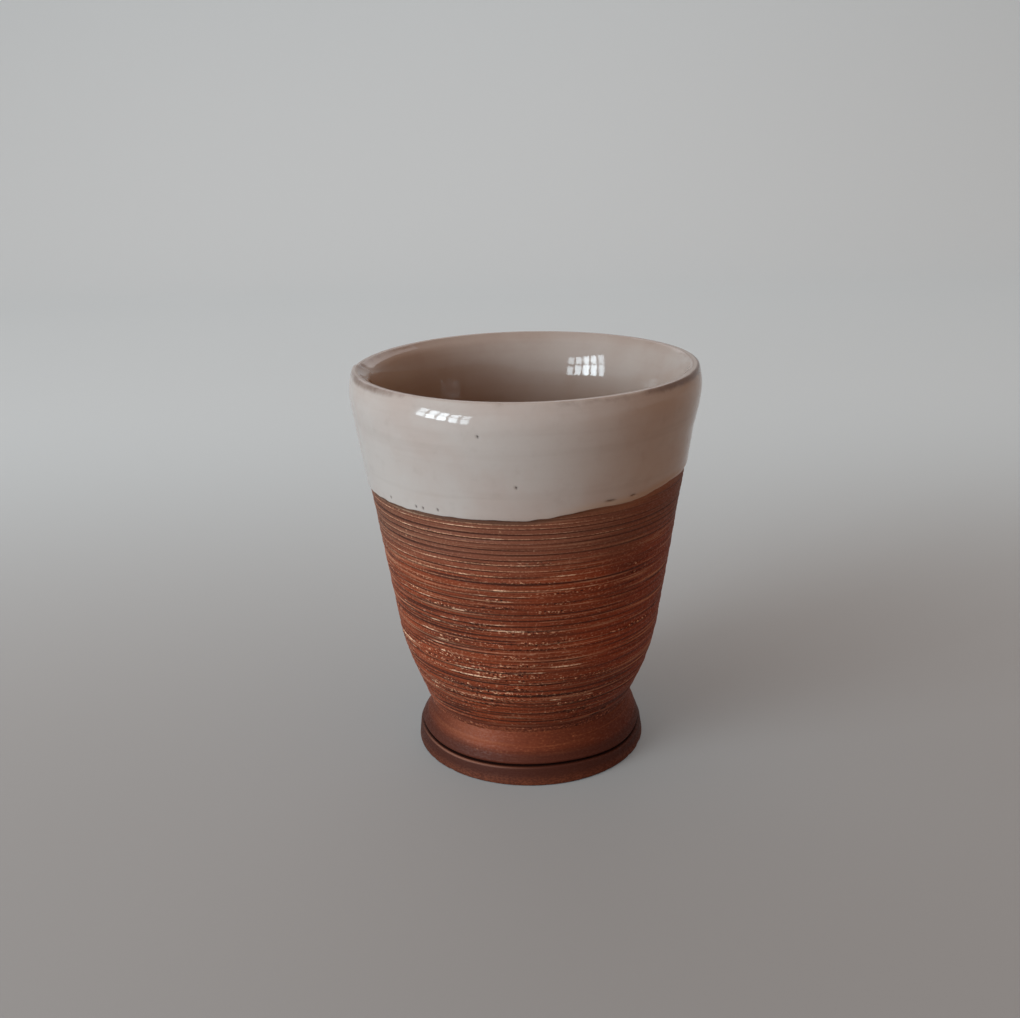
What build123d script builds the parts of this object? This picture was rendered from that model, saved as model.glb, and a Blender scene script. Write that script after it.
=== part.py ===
from build123d import *
import math
import os

# A hand-thrown clay cup on a separate flared foot, glazed inside and dipped round the lip.
# Millimetres, +Z up, origin on the table at the middle of the foot.

# Whole cup
cup_height = 96.0            # table to the top of the glazed lip
glaze_thickness = 0.45

# Bowl, as thrown and turned
rim_diameter = 82.0          # outside corner of the clay lip, before it is rounded
belly_diameter = 64.4        # where the straight wall turns into the rounded belly
belly_height = 34.0
seat_diameter = 50.6         # edge of the rounded underside that sits in the foot
seat_height = 13.5
underside_drop = 3.2         # how far the middle of the underside hangs below its edge
wall_thickness = 3.9
floor_thickness = 5.0
inside_corner_radius = 12.0  # round between the floor and the wall inside
lip_outer_radius = 1.9
lip_inner_radius = 0.9

# Rings left in the clay by the turning comb
ring_pitch = 2.2
ring_depth = 0.3
ring_margin = 2.4            # smooth clay between the seat's edge and the first ring

# Foot, turned by itself
foot_diameter = 57.2         # across the bottom edge of the base slab
slab_height = 4.4
slab_taper = 0.5             # how far the slab's top edge stands inside its bottom edge
slab_edge_radius = 0.4
groove_depth = 2.2           # from the slab's top edge to the bottom of the groove over it
groove_width = 0.5
shoulder_setback = 0.25      # from the slab's top edge to the shoulder over the groove
shoulder_rise = 0.8
shoulder_radius = 0.6
flare_hollow = 0.15          # sag of the flare between the shoulder and the waist
standing_ring_width = 8.6    # clay left standing round the hollow under the foot
web_thickness = 4.0          # clay between that hollow and the seat
hollow_corner_radius = 2.0

# Slip that sticks the bowl to the foot
seat_overhang = 0.5          # how far the bowl's edge stands out over the foot's waist
slip_thickness = 0.6
slip_setback = 0.5           # how far the slip stays inside the waist

# Glaze line, where the upturned cup was dipped at a slant
dip_depth = 24.5             # lip to glaze line, on the axis
dip_tilt = 3.3               # degrees
dip_high_side = 31.0         # degrees from +X towards +Y, where the line is highest

# Bowl sizes that follow from those above
rim_radius = rim_diameter / 2
belly_radius = belly_diameter / 2
seat_radius = seat_diameter / 2
clay_top = cup_height - glaze_thickness
wall_slope = (rim_radius - belly_radius) / (clay_top - belly_height)
floor_height = seat_height - underside_drop + floor_thickness
underside_radius = (seat_radius**2 + underside_drop**2) / (2 * underside_drop)
underside_centre = seat_height - underside_drop + underside_radius

# The lip's two rounds fit on the wall's thickness, and the glazes meet between them
lip_outer_round = min(lip_outer_radius, 0.54 * wall_thickness)
lip_inner_round = min(lip_inner_radius, 0.27 * wall_thickness)
core_depth = wall_thickness * lip_inner_round / (lip_inner_round + lip_outer_round)

# Belly arc, tangent to the straight wall and through the seat's edge
wall_stretch = math.hypot(1, wall_slope)
belly_in = belly_radius - seat_radius
belly_down = belly_height - seat_height
belly_bend = belly_in - wall_slope * belly_down
belly_arc_radius = (belly_in**2 + belly_down**2) * wall_stretch / (2 * belly_bend)
belly_centre_r = belly_radius - belly_arc_radius / wall_stretch
belly_centre_z = belly_height + belly_arc_radius * wall_slope / wall_stretch

# Glaze line on the wall
dip_height = cup_height - dip_depth
dip_rise = math.tan(math.radians(dip_tilt)) * rim_radius


def outside_radius(z):
    """Radius of the plain clay wall's outer face at height z."""
    if z >= belly_height:
        return belly_radius + (z - belly_height) * wall_slope
    reach = math.sqrt(belly_arc_radius**2 - (belly_centre_z - z) ** 2)
    return belly_centre_r + math.copysign(reach, belly_arc_radius)


def inside_radius(z, depth=0.0):
    """Radius of the clay wall's inner face at height z, or of a layer that deep in the clay."""
    return belly_radius - wall_thickness + (z - belly_height) * wall_slope + depth


def floor_corner(depth=0.0):
    """Corner of floor and inner wall, on the clay's face or that deep in the clay."""
    z = floor_height - depth
    return (inside_radius(z, depth), z)


def underside_height(radius, below=0.0):
    """Height of the rounded underside, or of a surface that far below it."""
    return underside_centre - math.sqrt((underside_radius + below) ** 2 - radius**2)


def dished_arc(edge_radius, below=0.0):
    """Arc of the underside from the axis out to a radius."""
    middle = (0, underside_height(0, below))
    edge = (edge_radius, underside_height(edge_radius, below))
    return TangentArc(middle, edge, tangent=(1, 0))


def chain(points):
    """Straight edges through a list of points."""
    return [Line(a, b) for a, b in zip(points, points[1:])]


def section(edges):
    """Closed face in the XZ plane, from edges drawn as radius and height."""
    return make_face(Plane.XZ * Wire(edges))


def round_corner(face, point, radius):
    """Section with its corner nearest to a radius and height rounded."""
    target = Vector(point[0], 0, point[1])
    nearest = min(face.vertices(), key=lambda vertex: (Vector(*vertex) - target).length)
    return fillet(nearest, radius)


def turned(face):
    """Solid of revolution of a section about the cup's axis."""
    return revolve(face, axis=Axis.Z)


def make_bowl():
    """Thrown bowl with a rounded underside, combed wall and rounded lip."""
    ring_bottom = seat_height + ring_margin
    ring_count = int((dip_height + dip_rise - ring_bottom) / ring_pitch)
    outside = [(seat_radius, seat_height)]
    for ring in range(ring_count):
        ridge = ring_bottom + ring * ring_pitch
        groove = ridge + ring_pitch / 2
        outside.append((outside_radius(ridge), ridge))
        outside.append((outside_radius(groove) - ring_depth, groove))
    last_ridge = ring_bottom + ring_count * ring_pitch
    outside.append((outside_radius(last_ridge), last_ridge))
    lip_outside = (rim_radius, clay_top)
    lip_inside = (rim_radius - wall_thickness, clay_top)
    inside = [lip_outside, lip_inside, floor_corner(), (0, floor_height), (0, underside_height(0))]
    face = section([dished_arc(seat_radius), *chain(outside + inside)])
    face = round_corner(face, lip_outside, lip_outer_round)
    face = round_corner(face, lip_inside, lip_inner_round)
    face = round_corner(face, floor_corner(), inside_corner_radius)
    return turned(face)


def make_foot():
    """Flared foot on a base slab, dished on top for the bowl and hollow underneath."""
    foot_edge = (foot_diameter / 2, 0)
    slab_edge = (foot_diameter / 2 - slab_taper, slab_height)
    groove = slab_edge[0] - groove_depth
    shoulder = slab_edge[0] - shoulder_setback
    shoulder_bottom = slab_height + groove_width
    shoulder_top = (shoulder, shoulder_bottom + shoulder_rise)
    waist = seat_radius - seat_overhang
    seat_edge = (waist, underside_height(waist, slip_thickness))
    seat_middle = (0, underside_height(0, slip_thickness))
    hollow = foot_diameter / 2 - standing_ring_width
    hollow_top = (hollow, seat_middle[1] - web_thickness)
    outline = [
        seat_middle,
        (0, hollow_top[1]),
        hollow_top,
        (hollow, 0),
        foot_edge,
        slab_edge,
        (groove, slab_height),
        (groove, shoulder_bottom),
        (shoulder, shoulder_bottom),
        shoulder_top,
    ]
    flare = SagittaArc(shoulder_top, seat_edge, -flare_hollow)
    face = section([*chain(outline), flare, dished_arc(waist, slip_thickness)])
    face = round_corner(face, foot_edge, slab_edge_radius)
    face = round_corner(face, slab_edge, slab_edge_radius)
    face = round_corner(face, hollow_top, hollow_corner_radius)
    face = round_corner(face, shoulder_top, min(shoulder_radius, 0.8 * shoulder_rise))
    return turned(face)


def make_slip_joint():
    """Thin layer of slip between the bowl's underside and the foot's dished top."""
    edge = seat_radius - seat_overhang - slip_setback
    top = dished_arc(edge)
    low = dished_arc(edge, slip_thickness)
    return turned(section([top, Line(top @ 1, low @ 1), low, Line(low @ 0, top @ 0)]))


def make_inner_glaze(bowl):
    """Glaze skin over the floor, the inner wall and the inner part of the lip."""
    surface = floor_corner(-glaze_thickness)
    core = floor_corner(core_depth)
    lip_edge = (rim_radius - wall_thickness - glaze_thickness, cup_height)
    crest = (inside_radius(cup_height, core_depth), cup_height)
    start = (0, surface[1])
    face = section(chain([start, surface, lip_edge, crest, core, (0, core[1]), start]))
    face = round_corner(face, surface, inside_corner_radius - glaze_thickness)
    face = round_corner(face, core, inside_corner_radius + core_depth)
    face = round_corner(face, lip_edge, lip_inner_round + glaze_thickness)
    return turned(face) - bowl


def make_outer_glaze_band(bowl):
    """Glaze skin over the outer part of the lip and the wall, down to the slanted dip line."""
    lowest = dip_height - 2 * dip_rise
    lip_edge = (rim_radius + glaze_thickness, cup_height)
    crest = (inside_radius(cup_height, core_depth), cup_height)
    wall_edge = (outside_radius(lowest) + glaze_thickness, lowest)
    core = (inside_radius(lowest, core_depth), lowest)
    face = section(chain([crest, lip_edge, wall_edge, core, crest]))
    face = round_corner(face, lip_edge, lip_outer_round + glaze_thickness)
    slant = Pos(0, 0, dip_height) * Rot(0, 0, dip_high_side) * Rot(0, -dip_tilt, 0)
    return split(turned(face), bisect_by=Plane(slant), keep=Keep.TOP) - bowl


bowl = make_bowl()
pieces = {
    "bowl": bowl,
    "foot": make_foot(),
    "slip_joint": make_slip_joint(),
    "inner_glaze": make_inner_glaze(bowl),
    "outer_glaze_band": make_outer_glaze_band(bowl),
}

os.makedirs("parts", exist_ok=True)
for name, piece in pieces.items():
    export_step(piece, f"parts/{name}.step")
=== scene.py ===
import math

import bpy
import numpy as np
from mathutils import Matrix, Vector


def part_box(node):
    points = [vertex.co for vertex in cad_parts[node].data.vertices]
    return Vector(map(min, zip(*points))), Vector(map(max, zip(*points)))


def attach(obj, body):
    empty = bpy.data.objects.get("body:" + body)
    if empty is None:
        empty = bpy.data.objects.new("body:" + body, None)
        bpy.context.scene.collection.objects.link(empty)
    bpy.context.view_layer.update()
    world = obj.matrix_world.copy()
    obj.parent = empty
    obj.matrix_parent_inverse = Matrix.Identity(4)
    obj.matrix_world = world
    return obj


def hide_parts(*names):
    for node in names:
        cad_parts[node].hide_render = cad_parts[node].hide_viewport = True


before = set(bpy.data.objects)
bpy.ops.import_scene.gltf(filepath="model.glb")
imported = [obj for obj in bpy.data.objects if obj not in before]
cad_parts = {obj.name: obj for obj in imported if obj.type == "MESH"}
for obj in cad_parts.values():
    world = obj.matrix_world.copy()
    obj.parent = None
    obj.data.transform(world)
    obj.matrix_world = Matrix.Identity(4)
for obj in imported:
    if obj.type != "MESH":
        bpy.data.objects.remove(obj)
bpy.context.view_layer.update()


# The foot: red clay turned by itself into a low flared ring, with a base slab and an undercut
# groove over it. Its top is dished to take the bowl, and its underside is hollowed out.
# The flare was smoothed with a wet finger and fired bare.
mm = 0.001
foot_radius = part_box("foot")[1][0] / mm
foot_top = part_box("foot")[1][2] / mm
slab_height = 4.1
slab_top_radius = foot_radius - 0.5
slab_bulge = 0.5                 # how far the slab's bottom edge swells at the front
groove_radius = foot_radius - 2.6
groove_height = 0.5
groove_round = 0.1
shoulder_height = slab_height + groove_height
shoulder_radius = foot_radius - 0.75
turned_line = 7.0                # height of a line scored into the flare
line_gap = 1.7                   # from that line up to a fainter one
waist_radius = 24.8
flank_hollow = 0.6               # how far the flare is hollowed at the left
flank_top = 10.5                 # over this height the flank's hollowing fades out
seam_sink = 1.3                  # how much deeper the bowl was pressed home at the left
seat_middle = 9.7
seat_half_way = seat_middle + 0.8
seat_round = 20.0
hollow_radius = 20.0
hollow_height = 5.7
hollow_round = 2.0
hidden_spacing = 2.5             # between points on faces that are out of sight
# The groove was cut freehand, so it rises and dips: degrees round the foot, rise in mm, spread in degrees
groove_wobble = [(-85, 0.3, 28), (-35, -0.7, 22), (-165, 0.5, 20), (70, 0.35, 40)]
groove_waver = 0.08
smear_depth = 0.05
finger_depth = 0.02
line_depth = 0.1
faint_line_depth = 0.05
chip_depth = 0.35
long_rise = 60                   # bumps this tall hardly change from the bottom of a piece to its top
sharp_bend = math.radians(50)    # edges that bend more than this stay sharp
foot_steps = 360


def rounded(points):
    """Outline in mm through (radius, height, corner radius, spacing) points, with arcs at the corners.

    A spacing holds from its point on, so the last point has only a radius and a height."""
    outline = [(Vector(points[0][:2]), points[0][3])]
    for before, (radius, height, bend, spacing), after in zip(points, points[1:], points[2:]):
        corner = Vector((radius, height))
        inward = (corner - Vector(before[:2])).normalized()
        outward = (Vector(after[:2]) - corner).normalized()
        turn = inward.angle_signed(outward)
        start = corner - inward * bend * math.tan(abs(turn) / 2)
        side = Vector((-inward.y, inward.x)) * (-1 if turn > 0 else 1)
        centre = start + side * bend
        count = max(1, math.ceil(bend * abs(turn) / spacing))
        for step in range(count):
            outline.append((centre + Matrix.Rotation(-turn * step / count, 2) @ (start - centre), math.inf))
        outline.append((centre + Matrix.Rotation(-turn, 2) @ (start - centre), spacing))
    outline.append((Vector(points[-1]), math.inf))
    dense = [outline[0][0]]
    for (here, spacing), (there, _) in zip(outline, outline[1:]):
        length = (there - here).length
        pieces = max(1, math.ceil(length / spacing - 0.01))
        if length > 1e-6:
            dense += [here.lerp(there, piece / pieces) for piece in range(1, pieces + 1)]
    return dense


def turned(name, outline, steps):
    """Closed piece turned about the cup's axis from an outline in mm."""
    weld = 0.002 * mm
    bpy.ops.object.select_all(action="DESELECT")
    bpy.ops.mesh.primitive_plane_add(size=mm, location=(0, 0, 0))
    piece = bpy.context.object
    piece.name = name
    piece.data.name = name
    bpy.ops.object.mode_set(mode="EDIT")
    bpy.ops.mesh.merge(type="CENTER")
    bpy.ops.transform.translate(value=(outline[0].x * mm, 0, outline[0].y * mm))
    for here, there in zip(outline, outline[1:]):
        move = ((there.x - here.x) * mm, 0, (there.y - here.y) * mm)
        bpy.ops.mesh.extrude_vertices_move(TRANSFORM_OT_translate={"value": move})
    bpy.ops.object.mode_set(mode="OBJECT")
    wheel = piece.modifiers.new("wheel", "SCREW")
    wheel.steps = steps
    wheel.render_steps = steps
    wheel.use_merge_vertices = True
    wheel.merge_threshold = weld
    bpy.ops.object.modifier_apply(modifier="wheel")
    bpy.ops.object.mode_set(mode="EDIT")
    bpy.ops.mesh.select_all(action="SELECT")
    bpy.ops.mesh.remove_doubles(threshold=weld)
    bpy.ops.mesh.normals_make_consistent(inside=False)
    bpy.ops.object.mode_set(mode="OBJECT")
    return piece


def points_of(piece):
    """Radius and height in mm and angle in radians of every vertex of a turned piece."""
    flat = np.empty(len(piece.data.vertices) * 3)
    piece.data.vertices.foreach_get("co", flat)
    x, y, z = flat.reshape(-1, 3).T / mm
    return np.hypot(x, y), z, np.arctan2(y, x)


def place_points(piece, radius, height, angle):
    """Moves every vertex to a radius and a height in mm at its angle."""
    spots = np.column_stack([radius * np.cos(angle), radius * np.sin(angle), height]) * mm
    piece.data.vertices.foreach_set("co", spots.ravel())
    piece.data.update()


def paint(piece, name, values):
    """Stores one number per vertex for the piece's material to read."""
    layer = piece.data.attributes.new(name, "FLOAT", "POINT")
    layer.data.foreach_set("value", np.ascontiguousarray(values, dtype=np.float32))


def ramp(low, high, value):
    """Smooth step from 0 at low to 1 at high."""
    share = np.clip((value - low) / (high - low), 0, 1)
    return share * share * (3 - 2 * share)


def wavy(rng, angle, height, length, rise):
    """Soft uneven field from -1 to 1, closed round the cup, with bumps of a length and a rise in mm."""
    usual_radius = 35
    highest = 110
    columns = max(3, round(2 * math.pi * usual_radius / length))
    rows = math.ceil(highest / rise) + 2
    grid = rng.uniform(-1, 1, (columns, rows))
    across = angle / (2 * math.pi) % 1 * columns
    upward = np.clip(height / rise + 1, 0, rows - 1.001)
    column = across.astype(int)
    row = upward.astype(int)
    sideways = ramp(0, 1, across - column)
    risen = ramp(0, 1, upward - row)
    near = column % columns
    far = (column + 1) % columns
    near_side = grid[near, row] * (1 - risen) + grid[near, row + 1] * risen
    far_side = grid[far, row] * (1 - risen) + grid[far, row + 1] * risen
    return near_side * (1 - sideways) + far_side * sideways


def close_to(value, middle, spread):
    """Bump from 0 to 1 where a value comes near a middle, within a spread."""
    return np.exp(-(((value - middle) / spread) ** 2))


def lobe(angle, degrees, spread):
    """Bump from 0 to 1 round the cup, at an angle and with a spread in degrees.

    The right of the cup is at 0, its back at 90, its left at 180 and its front at -90."""
    apart = (np.degrees(angle) - degrees + 180) % 360 - 180
    return close_to(apart, 0, spread)


def seam_drop(radius, height, angle):
    """How far in mm the clay round the seam lies lower: the bowl was pressed home deeper at the left."""
    risen = ramp(turned_line, foot_top - 0.3, height)
    past_seam = ramp(foot_top + 0.8, foot_top + 8, height)
    return seam_sink * lobe(angle, 178, 55) * (risen * (1 - past_seam)) * ramp(20, 24, radius)


foot = turned("foot_turned", rounded([
    (0, hollow_height, 0, hidden_spacing),
    (hollow_radius, hollow_height, hollow_round, 0.8),
    (hollow_radius + 0.6, 0, 0.8, 0.8),
    (foot_radius, 0, 0.35, 0.3),
    (slab_top_radius, slab_height, 0.45, 0.2),
    (groove_radius, slab_height + groove_round, groove_round, 0.4),
    (groove_radius, shoulder_height - groove_round, groove_round, 0.4),
    (shoulder_radius, shoulder_height, 0.55, 0.25),
    (waist_radius, foot_top, 0.3, 0.3),
    (waist_radius / 2, seat_half_way, seat_round, hidden_spacing),
    (0, seat_middle),
]), foot_steps)

rng = np.random.default_rng(19)
radius, height, angle = points_of(foot)
outside = ramp(hollow_radius + 1.5, hollow_radius + 3, radius)
near_groove = ramp(0.8, slab_height - 0.3, height) * (1 - ramp(turned_line + 0.5, foot_top - 1.5, height))
near_groove *= outside
groove_lift = groove_waver * wavy(rng, angle, height, 22, long_rise)
for degrees, rise, spread in groove_wobble:
    groove_lift += rise * lobe(angle, degrees, spread)
smear = smear_depth * wavy(rng, angle, height, 24, 1.6) + finger_depth * wavy(rng, angle, height, 40, 0.5)
scored = -line_depth * close_to(height, turned_line, 0.22)
scored -= faint_line_depth * close_to(height - turned_line, line_gap, 0.2)
chips = np.minimum(0, wavy(rng, angle, height, 2.2, 1.2) + 0.5) * chip_depth
flank = outside * ramp(0.4, 1.2, height)
low_edge = outside * (1 - ramp(0.3, 2.2, height))
swell = slab_bulge * lobe(angle, -70, 50) * outside * (1 - ramp(0.5, slab_height, height))
hollowed = flank_hollow * lobe(angle, 170, 40) * ramp(shoulder_height, turned_line + 0.5, height)
hollowed *= (1 - ramp(flank_top, foot_top, height)) * outside
new_radius = radius + (smear + scored) * flank + chips * low_edge + swell - hollowed
new_height = height + groove_lift * near_groove - seam_drop(radius, height, angle)
place_points(foot, new_radius, new_height, angle)
# The groove is painted nearly black inside: painted shade in the undercut.
in_groove = close_to(height - slab_height, groove_height / 2, 0.4)
paint(foot, "groove_shade", in_groove * (1 - ramp(groove_radius + 1.2, slab_top_radius - 0.2, radius)))
paint(foot, "slab", (1 - ramp(slab_height - 0.1, slab_height + 0.1, height)) * outside)
# The foot under the scored line is painted darker: painted shade where the flare rounds over towards the
# groove.
paint(foot, "low_flank_shade", (1 - ramp(turned_line - 1.2, turned_line + 1.8, height)) * outside)
paint(foot, "base", (1 - ramp(0.2, 3.2, height)) * outside)
# The foot is painted darker at its left edge and on its right side: painted shade.
paint(foot, "side_shade", (0.6 * lobe(angle, -165, 30) + 0.25 * lobe(angle, -40, 35)) * outside)
# A soft pale patch on the flare at the left front is a painted highlight.
paint(foot, "flank_highlight", lobe(angle, -124, 18) * ramp(turned_line, turned_line + 2, height) * outside)
# The slab's top edge is painted pale: slight wear all round, and a painted highlight at the left front.
slab_edge = close_to(height - slab_height, -0.1, 0.22)
slab_edge *= ramp(slab_top_radius - 0.6, slab_top_radius - 0.2, radius)
paint(foot, "slab_edge_wear_and_highlight", slab_edge * (0.1 + 0.9 * lobe(angle, -128, 30)))
bpy.ops.object.shade_smooth_by_angle(angle=sharp_bend)


def shader_group(name, inputs, outputs):
    """Empty node group with colour and value sockets, and its two end nodes."""
    group = bpy.data.node_groups.new(name, "ShaderNodeTree")
    kinds = {"colour": "NodeSocketColor", "value": "NodeSocketFloat"}
    for label, kind in inputs:
        group.interface.new_socket(label, in_out="INPUT", socket_type=kinds[kind])
    for label, kind in outputs:
        group.interface.new_socket(label, in_out="OUTPUT", socket_type=kinds[kind])
    return group, group.nodes.new("NodeGroupInput"), group.nodes.new("NodeGroupOutput")


def stretched(tree, scale):
    """Object coordinates times a scale in cells per metre: one number, or one for each of x, y and z."""
    place = tree.nodes.new("ShaderNodeTexCoord")
    stretch = tree.nodes.new("ShaderNodeMapping")
    stretch.inputs["Scale"].default_value = scale if isinstance(scale, tuple) else (scale, scale, scale)
    tree.links.new(place.outputs["Object"], stretch.inputs["Vector"])
    return stretch.outputs["Vector"]


def noise(tree, scale, detail, rough=0.5):
    """Soft noise on object coordinates."""
    texture = tree.nodes.new("ShaderNodeTexNoise")
    texture.inputs["Scale"].default_value = 1.0
    texture.inputs["Detail"].default_value = detail
    texture.inputs["Roughness"].default_value = rough
    tree.links.new(stretched(tree, scale), texture.inputs["Vector"])
    return texture.outputs["Fac"]


def span(tree, value, low, high, to_low=0.0, to_high=1.0):
    """Value mapped smoothly from one range to another."""
    node = tree.nodes.new("ShaderNodeMapRange")
    node.interpolation_type = "SMOOTHSTEP"
    for label, number in zip(("From Min", "From Max", "To Min", "To Max"), (low, high, to_low, to_high)):
        node.inputs[label].default_value = number
    tree.links.new(value, node.inputs["Value"])
    return node.outputs["Result"]


def plug_in(tree, value, socket):
    """Links a socket, or writes a plain value."""
    if isinstance(value, bpy.types.NodeSocket):
        tree.links.new(value, socket)
    else:
        socket.default_value = value


def blend(tree, amount, under, over):
    """One colour laid over another by an amount; each is a socket or a plain value."""
    node = tree.nodes.new("ShaderNodeMix")
    node.data_type = "RGBA"
    plug_in(tree, amount, node.inputs[0])
    plug_in(tree, under, node.inputs[6])
    plug_in(tree, over, node.inputs[7])
    return node.outputs[2]


def sums(tree, way, first, second):
    """Arithmetic on two values; each is a socket or a number."""
    node = tree.nodes.new("ShaderNodeMath")
    node.operation = way
    plug_in(tree, first, node.inputs[0])
    plug_in(tree, second, node.inputs[1])
    return node.outputs[0]


def specks(tree, scale, size, share):
    """Mask of small round specks: cells per metre, size in cells, and the share of cells that have one."""
    cells = tree.nodes.new("ShaderNodeTexVoronoi")
    cells.inputs["Scale"].default_value = 1.0
    tree.links.new(stretched(tree, scale), cells.inputs["Vector"])
    draw = tree.nodes.new("ShaderNodeSeparateColor")
    tree.links.new(cells.outputs["Color"], draw.inputs["Color"])
    chosen = span(tree, draw.outputs["Red"], 1 - share, 1 - share + 0.02)
    return sums(tree, "MULTIPLY", span(tree, cells.outputs["Distance"], size, size * 0.45), chosen)


def painted(tree, name):
    """Value stored on the piece's vertices."""
    node = tree.nodes.new("ShaderNodeAttribute")
    node.attribute_name = name
    return node.outputs["Fac"]


def rgb(red, green, blue):
    """Colour from its look on screen, 0 to 255, as the renderer's linear values."""
    shares = [value / 255 for value in (red, green, blue)]
    linear = [share / 12.92 if share <= 0.04045 else ((share + 0.055) / 1.055) ** 2.4 for share in shares]
    return (*linear, 1.0)


def lay_over(tree, colour, name, tone, most, low=0.0, high=1.0, dots=None):
    """Tone laid over a colour as a stored value goes from low to high, broken up by dots if there are any."""
    amount = span(tree, painted(tree, name), low, high, 0, most)
    if dots is not None:
        amount = sums(tree, "MULTIPLY", amount, dots)
    return blend(tree, amount, colour, tone)


fired_clay, clay_in, clay_out = shader_group(
    "fired_clay",
    [("Red", "colour"), ("Brown", "colour"), ("Pale", "colour"), ("Dark", "colour"),
     ("Rings", "value"), ("Marks", "value")],
    [("Colour", "colour"), ("Roughness", "value"), ("Grain", "value"), ("Dots", "value")],
)
patches = span(fired_clay, noise(fired_clay, 42, 3), 0.36, 0.66)
clay_tone = blend(fired_clay, patches, clay_in.outputs["Red"], clay_in.outputs["Brown"])
rings = noise(fired_clay, (30, 30, 1700), 2, 0.6)
marks = noise(fired_clay, (1600, 1600, 2800), 1, 0.5)
for pattern, amount, tone, low, high in (
        (rings, "Rings", "Dark", 0.47, 0.32), (rings, "Rings", "Pale", 0.55, 0.70),
        (marks, "Marks", "Dark", 0.43, 0.30), (marks, "Marks", "Pale", 0.58, 0.70)):
    share = sums(fired_clay, "MULTIPLY", span(fired_clay, pattern, low, high), clay_in.outputs[amount])
    clay_tone = blend(fired_clay, share, clay_tone, clay_in.outputs[tone])
clay_tone = blend(fired_clay, specks(fired_clay, 700, 0.24, 0.03), clay_tone, clay_in.outputs["Pale"])
fired_clay.links.new(clay_tone, clay_out.inputs["Colour"])
fired_clay.links.new(span(fired_clay, marks, 0.42, 0.58, 0.35, 1.0), clay_out.inputs["Dots"])
fired_clay.links.new(span(fired_clay, marks, 0.35, 0.65, 0.72, 0.5), clay_out.inputs["Roughness"])
ring_height = sums(fired_clay, "MULTIPLY", rings, clay_in.outputs["Rings"])
mark_height = sums(fired_clay, "MULTIPLY", marks, clay_in.outputs["Marks"])
fired_clay.links.new(sums(fired_clay, "ADD", ring_height, mark_height), clay_out.inputs["Grain"])


def clay_material(name, red, brown, pale, dark, rings, marks, grain_height):
    """Bare fired clay: its material, nodes, clay group, shader and colour, ready for a piece's own marks."""
    material = bpy.data.materials.new(name)
    material.use_nodes = True
    tree = material.node_tree
    shader = tree.nodes["Principled BSDF"]
    shader.inputs["Specular IOR Level"].default_value = 0.25
    body = tree.nodes.new("ShaderNodeGroup")
    body.node_tree = fired_clay
    mixture = {"Red": red, "Brown": brown, "Pale": pale, "Dark": dark, "Rings": rings, "Marks": marks}
    for label, value in mixture.items():
        body.inputs[label].default_value = value
    bump = tree.nodes.new("ShaderNodeBump")
    bump.inputs["Distance"].default_value = grain_height * mm
    tree.links.new(body.outputs["Grain"], bump.inputs["Height"])
    tree.links.new(bump.outputs["Normal"], shader.inputs["Normal"])
    tree.links.new(body.outputs["Roughness"], shader.inputs["Roughness"])
    return material, tree, body, shader, body.outputs["Colour"]


foot_clay, tree, body, shader, colour = clay_material(
    "foot_clay", red=rgb(128, 61, 35), brown=rgb(111, 52, 30), pale=rgb(172, 104, 68), dark=rgb(84, 36, 21),
    rings=0.35, marks=0.3, grain_height=0.1)
# painted highlight on the flare
colour = lay_over(tree, colour, "flank_highlight", rgb(164, 92, 62), 0.5)
# painted shade on the lower flare
colour = lay_over(tree, colour, "low_flank_shade", rgb(72, 33, 23), 0.75)
colour = lay_over(tree, colour, "slab", rgb(66, 31, 21), 0.65)
colour = lay_over(tree, colour, "base", rgb(124, 68, 44), 0.75, dots=body.outputs["Dots"])
# painted shade at the foot's sides
colour = blend(tree, painted(tree, "side_shade"), colour, rgb(62, 29, 20))
# slight wear and a painted highlight on the slab's edge
colour = lay_over(tree, colour, "slab_edge_wear_and_highlight", rgb(164, 118, 98), 0.6)
# painted shade in the groove
colour = lay_over(tree, colour, "groove_shade", rgb(30, 13, 10), 0.9, high=0.8)
tree.links.new(colour, shader.inputs["Base Color"])
foot.data.materials.append(foot_clay)
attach(foot, "root")
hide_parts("foot")


# The slip joint: a thin layer of runny clay brushed on the foot's dished top, which squeezed out
# unevenly when the bowl was pressed home, and was wiped nearly flush with a finger.
slip_thickness = 0.6
seam_radius = waist_radius + 0.3
seam_low = foot_top - 0.35
seam_high = foot_top + 0.95
gap_depth = 0.5                  # where too little slip was brushed on, at the back

slip = turned("slip_seam", rounded([
    (0, seat_middle, 0, hidden_spacing),
    (waist_radius / 2, seat_half_way, seat_round, hidden_spacing),
    (seam_radius - 0.5, seam_low - 0.2, 0.1, 0.2),
    (seam_radius, seam_low, 0.3, 0.2),
    (seam_radius + 0.35, seam_high, 0.3, 0.2),
    (seam_radius - 0.3, seam_high + 0.2, 0.1, hidden_spacing),
    (waist_radius / 2, seat_half_way + slip_thickness, seat_round, hidden_spacing),
    (0, seat_middle + slip_thickness),
]), foot_steps)

rng = np.random.default_rng(20)
radius, height, angle = points_of(slip)
squeeze = 0.1 * wavy(rng, angle, height, 14, long_rise) + 0.08 * wavy(rng, angle, height, 3, long_rise)
squeeze -= gap_depth * lobe(angle, 128, 4)
uneven = 0.15 * wavy(rng, angle, height, 8, long_rise)
at_edge = ramp(22, 24.2, radius)
new_height = height + uneven * at_edge - seam_drop(radius, height, angle)
place_points(slip, radius + squeeze * at_edge, new_height, angle)
bpy.ops.object.shade_smooth()

slip_clay, tree, _, shader, colour = clay_material(
    "fired_slip", red=rgb(128, 66, 43), brown=rgb(108, 54, 36), pale=rgb(180, 118, 86), dark=rgb(60, 26, 16),
    rings=0.3, marks=0.8, grain_height=0.2)
tree.links.new(colour, shader.inputs["Base Color"])
slip.data.materials.append(slip_clay)
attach(slip, "root")
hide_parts("slip_joint")


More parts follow.
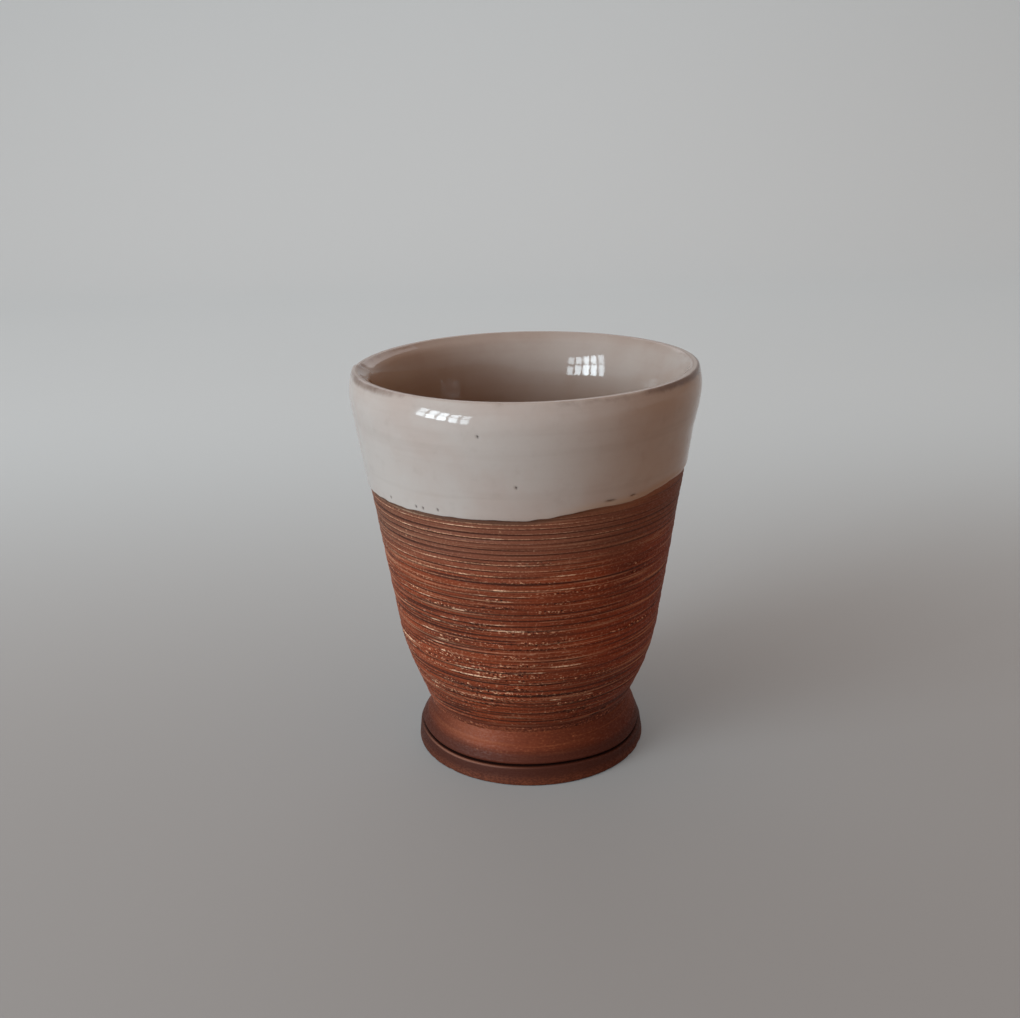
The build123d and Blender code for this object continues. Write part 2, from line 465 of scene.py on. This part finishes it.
# The bowl: thrown in one piece from coarse red clay, then turned outside with a toothed comb that
# left uneven rings, torn grains and small pits. The top of it lies under the glaze.
bowl_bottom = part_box("bowl")[0][2] / mm
clay_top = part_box("bowl")[1][2] / mm
seat_radius = 25.3
seat_height = 13.5
belly_corner = (30.7, 23.2)
belly_bend_radius = 60.0
wall_slope = 0.149
wall_end = 75.0                  # height where the comb stopped
rim_turn_height = 92.2
clay_crest = (39.1, 39.6)        # inner and outer radius of the flat on the clay lip
crest_height = clay_top - 0.4
lip_corner = (37.1, 93.8)
inner_wall_top = (35.6, 91.0)
floor_radius = 25.7
floor_height = bowl_bottom + 4.9
floor_round = 12.0
bowl_steps = 300
wall_row = 0.215                 # between rows of points on the combed wall
covered_spacing = 6.0            # between points on faces that the seat or the glaze covers
dip_height = 71.5
dip_rise = 2.05
dip_high_side = 31
# The dip line sags and rises: degrees round the cup, rise in mm, spread in degrees
dip_wobble = [(-118, -0.2, 12), (-91, -0.8, 14), (-70, 0.15, 7), (-54, -0.55, 9), (-34, 0.3, 9),
              (-12, 0.15, 9), (70, 0.4, 14), (130, -0.3, 20)]
lip_press = 1.8                  # how far the lip was pressed in at the left front
wheel_wobble = 0.22
step_depth = 0.21                # of the comb's steps
ring_rise = 200                  # a ring's strength changes round the cup, and hardly over its height
torn_depth = 0.09
pit_depth = 0.25
lowest_tear = 2.8                # over the seat
torn_height = 57


def wall_radius(z):
    """Radius of the clay wall's outer face over the belly, in mm."""
    return belly_corner[0] + (z - belly_corner[1]) * wall_slope


def glaze_line(angle):
    """Height in mm of the dip line at an angle: a slant, with a few sags and rises."""
    line = dip_height + dip_rise * np.cos(angle - math.radians(dip_high_side))
    for degrees, rise, spread in dip_wobble:
        line = line + rise * lobe(angle, degrees, spread)
    return line


def lip_thinning(angle, height):
    """How far in mm the inner wall stands back towards the lip, which is thinnest at the right."""
    return (1.4 * lobe(angle, 0, 45) + 0.7 * lobe(angle, 62, 30)) * ramp(84, 94, height)


def lip_lean(angle, height):
    """How far in mm the whole lip leans in: it was pressed in a little at the left front."""
    return lip_press * lobe(angle, -112, 44) * (np.clip(height - 82, 0, None) / 14) ** 2


bowl = turned("bowl_thrown", rounded([
    (0, bowl_bottom, 0, covered_spacing),
    (seat_radius / 2, bowl_bottom + 0.7, seat_round, covered_spacing),
    (seat_radius, seat_height, 0.6, wall_row),
    (*belly_corner, belly_bend_radius, wall_row),
    (wall_radius(wall_end), wall_end, 0, covered_spacing),
    (wall_radius(rim_turn_height), rim_turn_height, 9.0, 3.0),
    (clay_crest[1], crest_height, 0.3, 1.0),
    (clay_crest[0], crest_height, 0.3, 1.0),
    (*lip_corner, 2.0, 1.0),
    (*inner_wall_top, 12.0, 8.0),
    (floor_radius, floor_height, floor_round, 5.0),
    (0, floor_height),
]), bowl_steps)

rng = np.random.default_rng(7)
radius, height, angle = points_of(bowl)
# Radius half way through the wall, which tells its outer face from its inner one
wall_middle = np.interp(height, [bowl_bottom, 40, 90, 96], [20.0, 31.0, 38.0, 39.3])
on_wall = radius > wall_middle
inside = radius < wall_middle
# The wheel wobbled, so the rings lie a little aslant: a level is the height a ring has on average
level = height
wobble = wheel_wobble * np.sin(angle + 1.1) + 0.06 * wavy(rng, angle, height, 24, long_rise)
wobble = wobble * on_wall * ramp(seat_height, seat_height + 3, height) * (1 - ramp(76, 84, height))
height = height - wobble
bare = on_wall * ramp(seat_height, seat_height + 1.2, height)
bare *= 1 - ramp(0.2, 0.8, height - glaze_line(angle))


def comb_steps(first, last, pitch, depth):
    """Steps left by the comb's teeth, each swelling downwards to a sharp edge with a shadow under it.

    Relief in mm, and from 0 to 1 the pale edges, part wear and part painted highlight, their painted glints
    and painted shadows."""
    steps, edges, edge_glints, shadows = np.zeros((4, len(height)))
    ring = first
    while ring < last:
        ring_top = ring + rng.uniform(*pitch) * (1 - 0.2 * ramp(48, 60, ring))
        here = (level >= ring) & (level < ring_top)
        drop = (ring_top - level[here]) / (ring_top - ring)
        coming = wavy(rng, angle[here], height[here], rng.uniform(9, 36), ring_rise)
        tearing = wavy(rng, angle[here], height[here], rng.uniform(2, 7), ring_rise)
        steady = 0.3 + 0.2 * ramp(50, 60, ring)
        deep = rng.uniform(0.6, 1.0) * (steady + (1 - steady) * ramp(-0.6, 0.3, coming))
        steps[here] = depth * deep * (drop**1.4 - 1)
        edges[here] = deep * ramp(0.72, 0.94, drop)
        edge_glints[here] = deep * ramp(0.72, 0.95, drop) * ramp(0.25, 0.6, tearing)
        shadows[here] = deep * ramp(0.34, 0.04, drop)
        ring = ring_top
    return steps, edges, edge_glints, shadows


def scored_lines(first, last, pitch, depth, width, run, presence):
    """Narrow lines scored one over the other, which come and go round the cup.

    Relief in mm, and the shadow in them from 0 to 1."""
    lines, shadows = np.zeros((2, len(height)))
    line = first
    while line < last:
        away = (level - line) / rng.uniform(*width)
        coming = wavy(rng, angle, height, rng.uniform(*run), ring_rise) + rng.uniform(*presence)
        coming = ramp(-0.5, 0.3, coming)
        cut = rng.uniform(*depth) * coming * np.exp(-away**2)
        lines -= cut
        shadows = np.maximum(shadows, cut / depth[1])
        line += rng.uniform(*pitch)
    return lines, shadows


steps, edges, edge_glints, step_shadows = comb_steps(seat_height + 1.8, wall_end, (1.2, 1.95), step_depth)
lines, line_shadows = scored_lines(
    seat_height + 1.2, wall_end, pitch=(0.45, 1.2), depth=(0.05, 0.16), width=(0.13, 0.21),
    run=(6, 30), presence=(-0.7, 0.3))
swells = 0.05 * wavy(rng, angle, level, 60, 2.4) + 0.04 * wavy(rng, angle, level, 80, 0.8)
relief = steps + lines + swells


def scattered(places, half_length, half_rise):
    """Soft patches from 0 to 1 on the wall, drawn out along the rings; lengths and rises in mm."""
    patches = np.zeros_like(height)
    for degrees, at_height in places:
        length = rng.uniform(*half_length)
        rise = rng.uniform(*half_rise)
        strength = rng.uniform(0.4, 1.0)
        close = np.abs(level - at_height) < 2.5 * rise
        aside = (angle[close] - math.radians(degrees) + math.pi) % (2 * math.pi) - math.pi
        along = aside * radius[close] / length
        above = (level[close] - at_height) / rise
        patches[close] = np.maximum(patches[close], strength * np.exp(-(along**2) - above**2))
    return patches


def low_places(count):
    """Places on the wall in degrees and mm: more towards the foot, and few on the smooth right side."""
    places = []
    while len(places) < count:
        degrees = rng.uniform(-180, 180)
        if not -68 < degrees < 20 or rng.random() < 0.25:
            places.append((degrees, seat_height + lowest_tear + torn_height * rng.beta(1.1, 1.9)))
    return places


# A torn patch low at the front, a scatter of small torn spots over it, and a slit along the seam; the pits
# and the slit are painted dark, as painted shade
torn_patch = [(rng.normal(-66.5, 2.2), rng.normal(17.6, 1.3)) for place in range(9)]
front_patch = [(rng.normal(-105, 14), rng.normal(26, 4.5)) for place in range(45)]
torn = scattered(low_places(260) + torn_patch, (2.0, 9.0), (0.2, 0.5))
torn = np.maximum(torn, scattered(front_patch, (1.0, 3.5), (0.25, 0.5)))
pits = scattered(low_places(170) + torn_patch, (0.4, 0.8), (0.22, 0.36))
slit = np.minimum(1, 2.5 * scattered([(-53.5, 14.6), (-48, 15.4)], (1.1, 1.5), (0.24, 0.28)))
pits = np.maximum(pits, slit)
jagged = torn_depth * rng.normal(0, 1, len(height)) * torn
new_radius = radius + (relief + jagged - pit_depth * pits) * bare
new_radius += lip_thinning(angle, height) * inside * (1 - ramp(36.2, 39.2, radius)) - lip_lean(angle, height)
place_points(bowl, new_radius, height - seam_drop(radius, height, angle), angle)
under_glaze = height - glaze_line(angle)
# Edges, glints and shadows are painted stronger at the left front, where the light falls, and weaker on the
# shaded right.
light_side_contrast = 1 - 0.7 * lobe(angle, -20, 45) + 0.65 * lobe(angle, -128, 42)
# Pale step edges: partly paler worn clay, partly a painted highlight where the edges catch the light.
paint(bowl, "edge", edges * bare * light_side_contrast * (0.4 + 0.6 * ramp(42, 62, height)))
calm = 0.25 + 0.75 * ramp(seat_height + 3, seat_height + 10, height)
# Painted glints: bright dashes along the step edges.
paint(bowl, "edge_glint", edge_glints * bare * light_side_contrast * calm)
paint(bowl, "shadow", np.maximum(step_shadows, line_shadows) * bare * np.maximum(1, light_side_contrast))
paint(bowl, "torn", torn * bare * calm)
# painted shade in the pits and in the slit along the seam
paint(bowl, "pit_shade", pits * bare)
washed_side = lobe(angle, -42, 36)
paint(bowl, "rim_shade", ramp(-1.5, -0.7, under_glaze) * on_wall * (1 - washed_side))
paint(bowl, "wash", ramp(-2.6, -0.4, under_glaze) * on_wall * washed_side)
paint(bowl, "grey_flash", ramp(-20, -4, under_glaze) * on_wall)
paint(bowl, "wiped", 1 - ramp(seat_height + 0.9, seat_height + 2.2, height))
bpy.ops.object.shade_smooth()

bowl_clay, tree, body, shader, colour = clay_material(
    "combed_clay", red=rgb(144, 66, 36), brown=rgb(128, 61, 36), pale=rgb(234, 184, 146), dark=rgb(38, 14, 8),
    rings=0.4, marks=0.4, grain_height=0.25)
tree.links.new(span(tree, painted(tree, "torn"), 0, 0.7, 0.2, 1.5), body.inputs["Marks"])
dots = body.outputs["Dots"]
colour = lay_over(tree, colour, "grey_flash", rgb(119, 86, 70), 0.6)
colour = lay_over(tree, colour, "wiped", rgb(94, 49, 36), 0.6)
colour = lay_over(tree, colour, "shadow", rgb(54, 23, 14), 0.85, low=0.1, high=0.8)
# pale step edges, partly painted highlight
colour = lay_over(tree, colour, "edge", rgb(206, 155, 122), 1.1, low=0.15, high=0.85, dots=dots)
# painted glints on the step edges
colour = lay_over(tree, colour, "edge_glint", rgb(246, 208, 174), 0.95, low=0.25, high=0.8, dots=dots)
# painted shade in the pits and the slit
colour = lay_over(tree, colour, "pit_shade", rgb(40, 17, 11), 0.85, low=0.35, high=0.8)
colour = lay_over(tree, colour, "rim_shade", rgb(84, 62, 50), 0.7)
colour = lay_over(tree, colour, "wash", rgb(160, 112, 84), 0.7)
tree.links.new(colour, shader.inputs["Base Color"])
bowl.data.materials.append(bowl_clay)
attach(bowl, "root")
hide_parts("bowl")


# The inner glaze: pale tin-white glaze poured in and swilled round, a skin half a millimetre thick
# from the floor to the crest of the lip. Faint throwing rings of the clay show through it.
lip_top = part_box("inner_glaze")[1][2] / mm
crest_radius = 39.5              # where the two glazes meet
crest_low = lip_top - 0.9
wall_skin = 0.6
floor_skin = 0.55
inner_floor = floor_height + floor_skin
sunk_floor = inner_floor - 0.7   # the back of the skin lies a little inside the clay
lip_step = 0.5                   # how far the lip drops where its trimming ended
throwing_pitch = 6.5             # from one throwing ring to the next
throwing_depth = 0.08
ripple_height = 0.015
inner_steps = 480


def lip_drop(angle, height):
    """How far in mm the lip lies lower: at the left front, and behind the step where its trimming ended."""
    behind = 177 - np.degrees(angle)
    step = lip_step * np.exp(-((behind / 45) ** 2)) * ramp(-1.5, 1.5, behind)
    return (step + 0.5 * lobe(angle, -108, 45)) * ramp(92, 95.5, height)


inner_glaze = turned("inner_glaze_skin", rounded([
    (0, inner_floor, 0, 1.5),
    (floor_radius - 0.5, inner_floor, floor_round, 1.2),
    (inner_wall_top[0] - wall_skin, inner_wall_top[1], 18.0, 0.4),
    (lip_corner[0] - wall_skin, lip_corner[1] + 0.5, 3.4, 0.25),
    (clay_crest[0], lip_top, 0.8, 0.2),
    (crest_radius, lip_top, 0, 1.0),
    (crest_radius, crest_low, 0.1, 1.0),
    (lip_corner[0] + 0.2, lip_corner[1] - 0.1, 2.0, 4.0),
    (inner_wall_top[0] + 0.25, inner_wall_top[1], 12.0, 8.0),
    (floor_radius + 0.3, sunk_floor, floor_round, 5.0),
    (0, sunk_floor),
]), inner_steps)

rng = np.random.default_rng(31)
radius, height, angle = points_of(inner_glaze)
turns = height / throwing_pitch + angle / (2 * math.pi)
throwing = throwing_depth * np.sin(2 * math.pi * turns) * (1 - ramp(74, 86, height))
throwing += 0.04 * wavy(rng, angle, height, 30, 9)
throwing = throwing * ramp(18, 24, radius) * (1 - ramp(93, 95, height))
thinning = lip_thinning(angle, height) * (1 - ramp(36.0, crest_radius, radius))
new_radius = radius + throwing + thinning - lip_lean(angle, height)
place_points(inner_glaze, new_radius, height - lip_drop(angle, height), angle)
crest = close_to(height - lip_top, -0.3, 0.7)
paint(inner_glaze, "thin", (0.2 + 0.4 * lobe(angle, 175, 40) + 0.2 * lobe(angle, 5, 45)) * crest)
# The inner wall is painted darker and browner over its middle heights, most at the left: painted shade inside
# the cup.
inner_wall_shade = ramp(26, 62, height) * (1 - ramp(74, 95, height))
paint(inner_glaze, "inner_wall_shade", inner_wall_shade * (0.68 + 0.22 * lobe(angle, 165, 60)))
paint(inner_glaze, "pinhole", np.zeros_like(radius))     # none inside
bpy.ops.object.shade_smooth_by_angle(angle=sharp_bend)

pale_glaze, glaze_in, glaze_out = shader_group(
    "pale_glaze",
    [("White", "colour"), ("Blush", "colour"), ("Bare", "colour")],
    [("Colour", "colour"), ("Roughness", "value"), ("Ripple", "value")],
)
clouds = span(pale_glaze, noise(pale_glaze, 60, 4, 0.55), 0.34, 0.7)
glaze_tone = blend(pale_glaze, clouds, glaze_in.outputs["White"], glaze_in.outputs["Blush"])
mottle = noise(pale_glaze, 330, 3, 0.6)
streaks = noise(pale_glaze, (22, 22, 420), 2)
broken = sums(pale_glaze, "ADD", painted(pale_glaze, "thin"), sums(pale_glaze, "MULTIPLY", mottle, 0.6))
for pattern, low, high, most in (
        (mottle, 0.5, 0.85, 0.1), (streaks, 0.48, 0.75, 0.09), (broken, 0.5, 1.2, 0.95)):
    bare_share = span(pale_glaze, pattern, low, high, 0, most)
    glaze_tone = blend(pale_glaze, bare_share, glaze_tone, glaze_in.outputs["Bare"])
glaze_tone = blend(pale_glaze, painted(pale_glaze, "pinhole"), glaze_tone, rgb(56, 40, 33))
pale_glaze.links.new(glaze_tone, glaze_out.inputs["Colour"])
pale_glaze.links.new(span(pale_glaze, mottle, 0.3, 0.8, 0.03, 0.09), glaze_out.inputs["Roughness"])
pale_glaze.links.new(sums(pale_glaze, "ADD", mottle, noise(pale_glaze, 130, 1)), glaze_out.inputs["Ripple"])


def glaze_material(name, white, blush, bare):
    """Glossy fired glaze over clay: its material, nodes, shader and colour."""
    material = bpy.data.materials.new(name)
    material.use_nodes = True
    tree = material.node_tree
    shader = tree.nodes["Principled BSDF"]
    shader.inputs["IOR"].default_value = 1.52
    skin = tree.nodes.new("ShaderNodeGroup")
    skin.node_tree = pale_glaze
    skin.inputs["White"].default_value = white
    skin.inputs["Blush"].default_value = blush
    skin.inputs["Bare"].default_value = bare
    bump = tree.nodes.new("ShaderNodeBump")
    bump.inputs["Distance"].default_value = ripple_height * mm
    tree.links.new(skin.outputs["Ripple"], bump.inputs["Height"])
    tree.links.new(bump.outputs["Normal"], shader.inputs["Normal"])
    tree.links.new(skin.outputs["Roughness"], shader.inputs["Roughness"])
    return material, tree, shader, skin.outputs["Colour"]


poured_glaze, tree, shader, colour = glaze_material(
    "poured_glaze", white=rgb(180, 173, 167), blush=rgb(173, 162, 154), bare=rgb(146, 125, 112))
# painted shade inside the cup
colour = blend(tree, painted(tree, "inner_wall_shade"), colour, rgb(138, 114, 98))
tree.links.new(colour, shader.inputs["Base Color"])
inner_glaze.data.materials.append(poured_glaze)
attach(inner_glaze, "root")
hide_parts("inner_glaze")


# The outer glaze band: the same glaze, where the upturned cup was dipped at a slant. It broke thin
# and brown along the lip's outer edge, where a grey patch at the left is painted shade, and ran to a rounded
# edge at the dip line, with pinholes.
glaze_skin = 0.42
band_start = 69.5                # the band is turned down to this height, then its edge is drawn up
hang_top = rim_turn_height - 5   # over this height nothing is drawn up
lip_swell = 0.45                 # how far the lip swells at the right
band_rise = 300                  # bumps this tall are the same from the dip line to the lip
pinhole_depth = 0.2
pinhole_rise = 0.22              # half the height of a pinhole
band_steps = 720
# Pinholes and short gaps in the glaze: degrees round the cup, height and half length in mm
pinholes = [(-104, 88.75, 0.24), (-93, 77.5, 0.24), (-142, 71.0, 0.2), (-129, 70.75, 0.22),
            (-126, 70.75, 0.22), (-120, 71.0, 0.2), (-62, 72.6, 1.1), (-53, 72.7, 0.7), (40, 80.0, 0.24),
            (75, 75.4, 0.22), (110, 84.0, 0.24), (150, 72.0, 0.22), (158, 71.2, 0.5)]

outer_glaze = turned("outer_glaze_dip", rounded([
    (crest_radius, crest_low, 0, 1.0),
    (crest_radius, lip_top, 0, 0.2),
    (crest_radius + 0.8, lip_top, 0.6, 0.2),
    (wall_radius(rim_turn_height) + glaze_skin, rim_turn_height, 14.0, 0.33),
    (wall_radius(band_start) + glaze_skin + 0.05, band_start, 0.33, 0.12),
    (wall_radius(band_start) - 0.25, band_start + 0.1, 0.2, 4.0),
    (wall_radius(rim_turn_height) - 0.3, rim_turn_height, 9.0, 1.5),
    (crest_radius + 0.2, crest_low, 0.1, 1.0),
    (crest_radius, crest_low),
]), band_steps)

rng = np.random.default_rng(43)
radius, height, angle = points_of(outer_glaze)
edge = glaze_line(angle) + 0.12 * wavy(rng, angle, height, 6, band_rise)
edge += 0.14 * wavy(rng, angle, height, 2.2, band_rise)
hang = np.clip((hang_top - height) / (hang_top - band_start), 0, 1)
fall = (edge - band_start) * hang
# Radius half way through the skin, which tells its face from its back
skin_heights = [60, 90, 92.2, 94, 95.2, 96]
skin_middle = [wall_radius(60) + 0.1, 40.7, 40.75, 40.35, 39.9, 39.4]
front_face = (radius > np.interp(height, skin_heights, skin_middle)) * (1 - ramp(94.5, 95.8, height))
new_height = height + fall
new_radius = radius + fall * wall_slope
uneven = 0.05 * wavy(rng, angle, new_height, 16, 6) + 0.012 * wavy(rng, angle, new_height, 60, 0.9)
new_radius += uneven * front_face * ramp(band_start, band_start + 2, height)
swollen = lip_swell * lobe(angle, 0, 55) * ramp(78, 88, height)
new_radius += swollen * ramp(crest_radius, crest_radius + 0.6, radius)
new_radius -= lip_lean(angle, new_height)
pinhole = np.zeros_like(radius)
for degrees, at_height, half_length in pinholes:
    aside = (angle - math.radians(degrees) + math.pi) % (2 * math.pi) - math.pi
    apart = np.hypot(aside * radius / half_length, (new_height - at_height) / pinhole_rise)
    pinhole = np.maximum(pinhole, np.minimum(1, 1.5 * np.exp(-(apart**2))))
new_radius -= pinhole_depth * pinhole * front_face
place_points(outer_glaze, new_radius, new_height - lip_drop(angle, new_height), angle)
lip_edge = close_to(new_height - lip_top, -0.4, 1.2) * ramp(39.7, 40.1, radius)
blotches = 0.75 + 0.5 * wavy(rng, angle, new_height, 11, band_rise)
blotches += 0.35 * wavy(rng, angle, new_height, 3, 1.5)
# The lip's glaze broke thin and brown, most at the right and the back; the patch at the left is painted shade
# on the lip's top.
worn_and_shaded = (0.2 + 0.45 * lobe(angle, -20, 50) + 0.5 * lobe(angle, 70, 60)) * blotches
worn_and_shaded += 0.5 * lobe(angle, -155, 22)
low_edge = 0.55 * (1 - ramp(0.1, 0.8, new_height - edge)) * (0.4 + 0.6 * lobe(angle, -50, 40))
paint(outer_glaze, "thin", np.clip(lip_edge * worn_and_shaded * 1.3 + low_edge, 0, 1))
paint(outer_glaze, "pinhole", pinhole * front_face)
paint(outer_glaze, "run_out", (1 - ramp(0.3, 2.8, new_height - edge)) * lobe(angle, -42, 36))
bpy.ops.object.shade_smooth_by_angle(angle=sharp_bend)

dipped_glaze, tree, shader, colour = glaze_material(
    "dipped_glaze", white=rgb(193, 190, 186), blush=rgb(188, 179, 173), bare=rgb(124, 106, 95))
colour = lay_over(tree, colour, "run_out", rgb(186, 160, 132), 0.75)
tree.links.new(colour, shader.inputs["Base Color"])
outer_glaze.data.materials.append(dipped_glaze)
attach(outer_glaze, "root")
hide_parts("outer_glaze_band")


# The studio: a pale paper sweep that rises behind the cup, and a window of ten soft panes at the left
# front with a wide glow behind it. Two weak lamps stand behind the cup and over it, the room fills in
# warm light, and the camera looks down from the front. Metres and watts.
sweep_front = -1.2
sweep_back = 1.1
sweep_rise = 1.6
sweep_lean = 0.05
sweep_width = 4.0
sweep_bend = 0.35
under_foot = 0.1 * mm            # the paper lies this far below the foot
front_lift = 0.09                # keeps the paper pale in the picture without more light on the cup
back_lift = 0.27
bpy.ops.object.select_all(action="DESELECT")
bpy.ops.mesh.primitive_plane_add(size=1, location=(0, 0, 0))
sweep = bpy.context.object
sweep.name = "paper_sweep"
bpy.ops.object.mode_set(mode="EDIT")
bpy.ops.transform.resize(value=(sweep_width, sweep_back - sweep_front, 1))
bpy.ops.transform.translate(value=(0, (sweep_back + sweep_front) / 2, -under_foot))
bpy.ops.mesh.select_all(action="DESELECT")
bpy.ops.object.mode_set(mode="OBJECT")
for edge_line in sweep.data.edges:
    edge_line.select = all(sweep.data.vertices[end].co.y > 0 for end in edge_line.vertices)
bpy.ops.object.mode_set(mode="EDIT")
bpy.ops.mesh.select_mode(type="EDGE")
bpy.ops.mesh.extrude_region_move(TRANSFORM_OT_translate={"value": (0, sweep_lean, sweep_rise)})
bpy.ops.object.mode_set(mode="OBJECT")
curve = sweep.modifiers.new("curve", "BEVEL")
curve.width = sweep_bend
curve.segments = 16
bpy.ops.object.modifier_apply(modifier="curve")
bpy.ops.object.shade_smooth()


def seen_directly(tree):
    """1 where the camera, a reflection or glass looks at a surface, and 0 for the light it throws."""
    ray = tree.nodes.new("ShaderNodeLightPath")
    seen = sums(tree, "MAXIMUM", ray.outputs["Is Camera Ray"], ray.outputs["Is Glossy Ray"])
    return sums(tree, "MAXIMUM", seen, ray.outputs["Is Transmission Ray"])


paper = bpy.data.materials.new("pale_paper")
paper.use_nodes = True
tree = paper.node_tree
shader = tree.nodes["Principled BSDF"]
shader.inputs["Roughness"].default_value = 0.9
paper_place = tree.nodes.new("ShaderNodeSeparateXYZ")
tree.links.new(stretched(tree, 1), paper_place.inputs["Vector"])
backward = span(tree, paper_place.outputs["Y"], -0.15, 0.4)
tree.links.new(blend(tree, backward, rgb(154, 152, 150), rgb(196, 197, 197)), shader.inputs["Base Color"])
shader.inputs["Emission Color"].default_value = rgb(206, 240, 252)
paper_lift = span(tree, backward, 0, 1, front_lift, back_lift)
seen_glow = sums(tree, "MULTIPLY", seen_directly(tree), paper_lift)
tree.links.new(seen_glow, shader.inputs["Emission Strength"])
sweep.data.materials.append(paper)


def softbox(name, spot, target, width, height, power, tint):
    """Rectangular lamp at a place in metres, turned to a target."""
    lamp = bpy.data.lights.new(name, "AREA")
    lamp.shape = "RECTANGLE"
    lamp.size = width
    lamp.size_y = height
    lamp.energy = power
    lamp.color = tint
    holder = bpy.data.objects.new(name, lamp)
    bpy.context.collection.objects.link(holder)
    aim = (target - spot).to_track_quat("-Z", "Y")
    holder.matrix_world = Matrix.Translation(spot) @ aim.to_matrix().to_4x4()
    return holder


cup_middle = Vector((0, 0, 0.06))
window_direction = Vector((-0.80, -0.60, 0.0)).normalized()
window_side = window_direction.cross(Vector((0, 0, 1)))
window_distance = 0.85
window_middle = 0.35
window_slant = 0.016             # how far each column of panes stands over the one before it
pane_width = 0.082
pane_height = 0.16
pane_gap = 0.028
pane_power = [0.32, 0.44, 0.66, 0.58, 0.38]     # of a pane in each column
daylight = (0.81, 0.93, 1.0)
row_share = [1.1, 0.9]           # of that power, in the lower and the upper row
for column, column_power in enumerate(pane_power):
    from_middle = column - 2
    aside = from_middle * (pane_width + pane_gap)
    for row, share in enumerate(row_share):
        rise = window_middle + (row - 0.5) * (pane_height + pane_gap) + from_middle * window_slant
        spot = window_direction * window_distance + window_side * aside + Vector((0, 0, rise))
        power = column_power * share
        softbox(f"pane_{column}_{row}", spot, cup_middle, pane_width, pane_height, power, daylight)
glow = softbox("window_glow", Vector((-1.18, -0.75, 0.62)), cup_middle,
               width=2.0, height=1.2, power=6.5, tint=daylight)
glow.visible_glossy = False
softbox("back_light", Vector((-0.12, 0.85, 0.75)), cup_middle,
        width=1.0, height=0.7, power=1.5, tint=(0.95, 0.97, 1.0))
softbox("top_light", Vector((-0.9, -0.5, 1.5)), cup_middle,
        width=1.2, height=1.0, power=0.4, tint=(0.9, 0.97, 1.0))

room_warmth = (0.33, 0.155, 0.074, 1.0)
room_wall = rgb(172, 174, 174)
world = bpy.data.worlds.new("room")
bpy.context.scene.world = world
world.use_nodes = True
tree = world.node_tree
room = blend(tree, seen_directly(tree), room_warmth, room_wall)
tree.links.new(room, tree.nodes["Background"].inputs["Color"])

image_width = 1020               # pixels, as is the focal length
focal_px = 1212.4
cup_height = lip_top * mm
eye_back = 2.92 * cup_height
eye_height = 1.6066 * cup_height
pitch = 0.3252                   # radians, as are the next two
yaw = -0.0143
roll = -0.0242
eye = Vector((0, -eye_back, eye_height))
forward = Vector((math.sin(yaw) * math.cos(pitch), math.cos(yaw) * math.cos(pitch), -math.sin(pitch)))
right = forward.cross(Vector((0, 0, 1))).normalized()
upward = right.cross(forward)
across = right * math.cos(roll) + upward * math.sin(roll)
above = upward * math.cos(roll) - right * math.sin(roll)
lens = bpy.data.cameras.new("camera")
lens.sensor_fit = "HORIZONTAL"
lens.sensor_width = 36.0
lens.lens = focal_px * lens.sensor_width / image_width
camera = bpy.data.objects.new("camera", lens)
bpy.context.collection.objects.link(camera)
turn = Matrix((across, above, -forward)).transposed().to_4x4()
camera.matrix_world = Matrix.Translation(eye) @ turn
bpy.context.scene.camera = camera
bpy.context.scene.view_settings.view_transform = "Standard"
